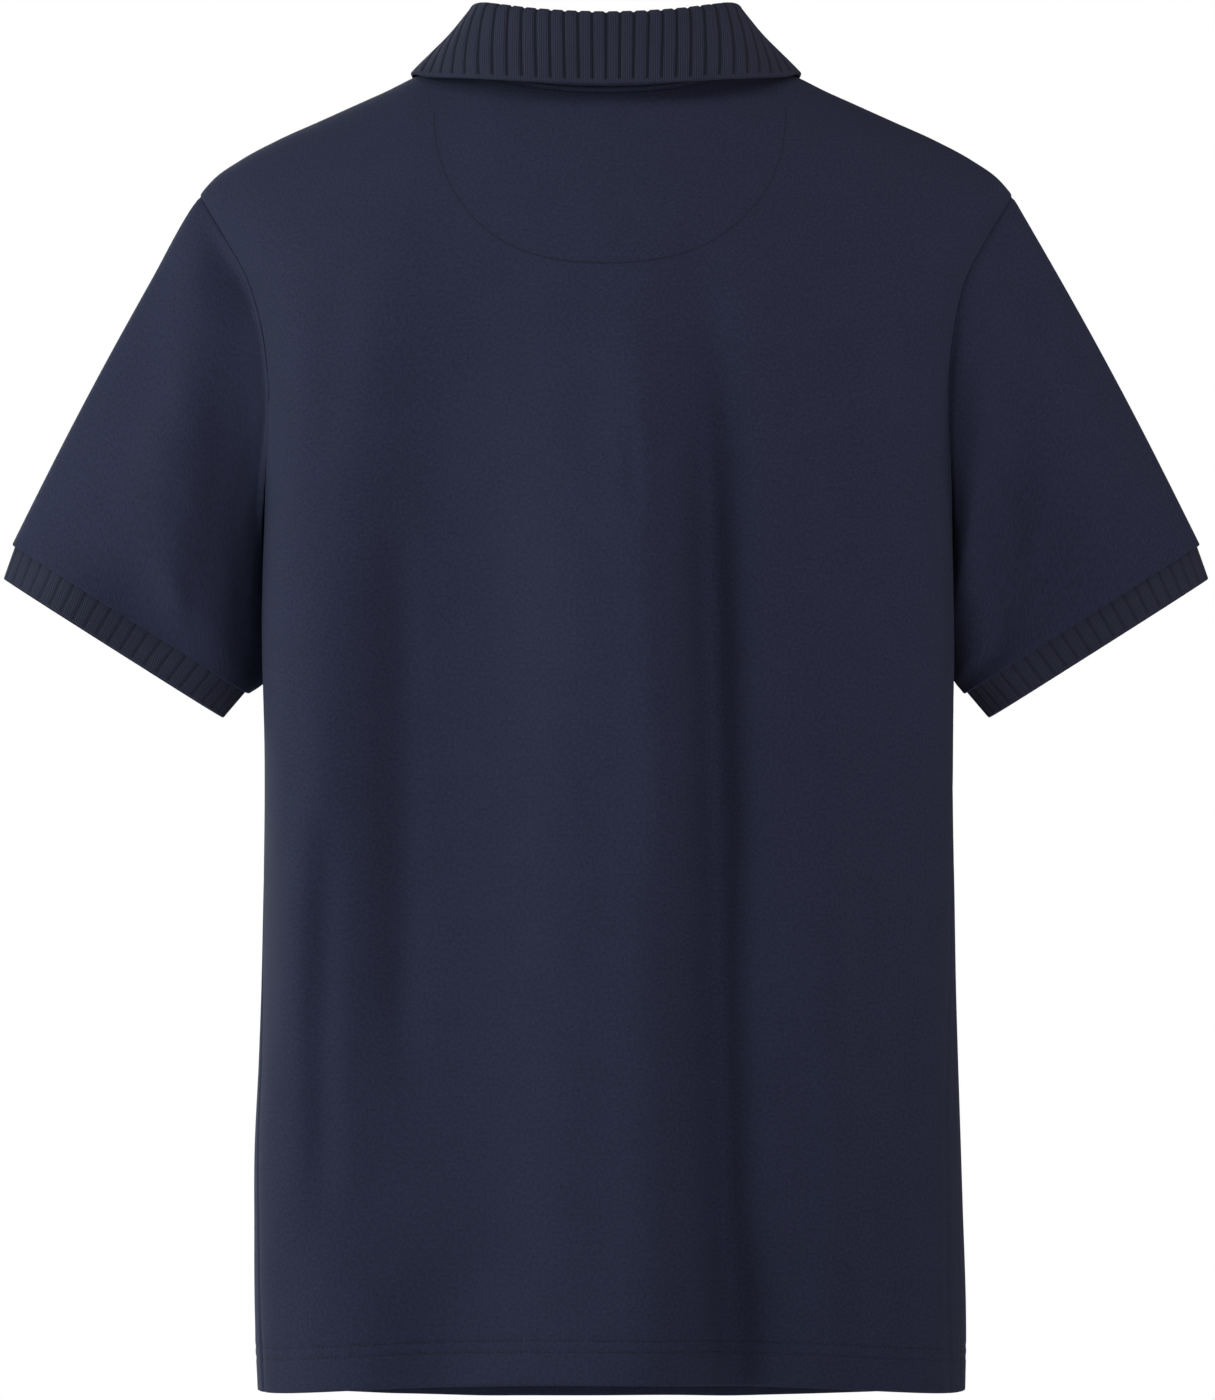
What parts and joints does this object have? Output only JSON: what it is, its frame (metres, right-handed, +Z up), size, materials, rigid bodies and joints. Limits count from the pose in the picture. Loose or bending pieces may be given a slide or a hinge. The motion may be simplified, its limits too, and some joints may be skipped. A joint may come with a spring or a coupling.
{
  "type": "polo shirt",
  "caption": "Short-sleeved knit polo shirt, filled out as if worn, hollow, with ribbed fold-over collar, ribbed cuffs and buttoned placket.",
  "frame": {"origin": "middle of the neck's base, level with the points where the shoulder seams meet the collar", "axes": "+Z up toward the collar, +Y out of the wearer's back, +X toward the wearer's left sleeve"},
  "size_m": [0.6508, 0.2629, 0.757],
  "materials": {
    "navy_pique": "matte fine-grained cotton knit",
    "navy_rib_knit": "matte flat-knit rib",
    "navy_button": "polished resin"
  },
  "bodies": {
    "root": {"back": "navy_pique", "front": "navy_pique", "sleeve_left": "navy_pique", "sleeve_right": "navy_pique", "cuff_left": "navy_rib_knit", "cuff_right": "navy_rib_knit", "collar": "navy_rib_knit", "placket_upper": "navy_pique", "placket_under": "navy_pique", "button_1": "navy_button", "button_2": "navy_button", "button_3": "navy_button", "neck_patch": "navy_pique"}
  },
  "joints": []
}
